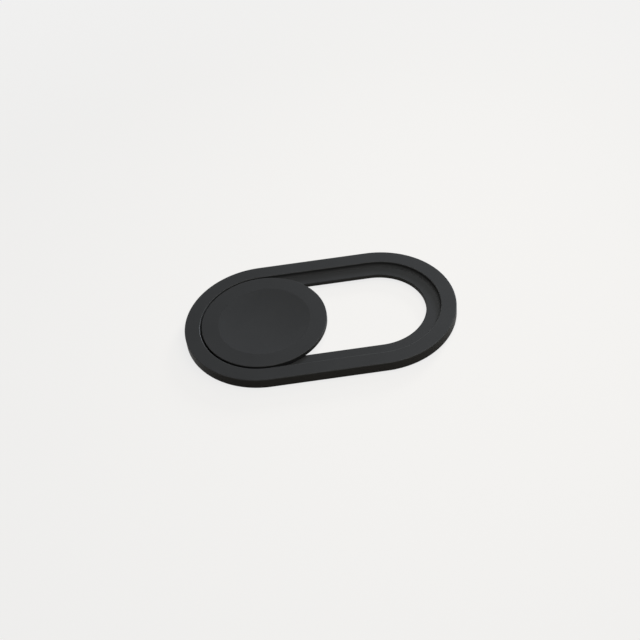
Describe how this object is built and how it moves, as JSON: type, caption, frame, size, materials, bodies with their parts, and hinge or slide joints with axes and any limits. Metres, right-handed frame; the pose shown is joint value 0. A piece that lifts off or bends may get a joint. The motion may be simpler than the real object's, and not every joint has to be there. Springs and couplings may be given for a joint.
{
  "type": "webcam cover slider",
  "caption": "Flat oblong stick-on cover for a webcam, with a round dished slider that runs on a ledge and opens or shuts the window.",
  "frame": {"origin": "centre of the underside, on the face of the tape that sticks to the screen", "axes": "+X along the length, towards the half of the window that is open at rest; +Y across; +Z away from the screen"},
  "size_m": [0.017, 0.01, 0.0008],
  "materials": {
    "black_plastic": "fine matte moulded ABS, black",
    "slider_plastic": "fine matte moulded ABS, black",
    "tape": "milky acrylic double-sided tape, die-cut"
  },
  "bodies": {
    "frame": {"frame": "black_plastic", "adhesive_ring": "tape"},
    "slider": {"slider": "slider_plastic"}
  },
  "joints": [
    {"name": "slider_slide", "type": "slide", "parent": "frame", "child": "slider", "axis": [1, 0, 0], "range_m": [0, 0.00702]}
  ]
}
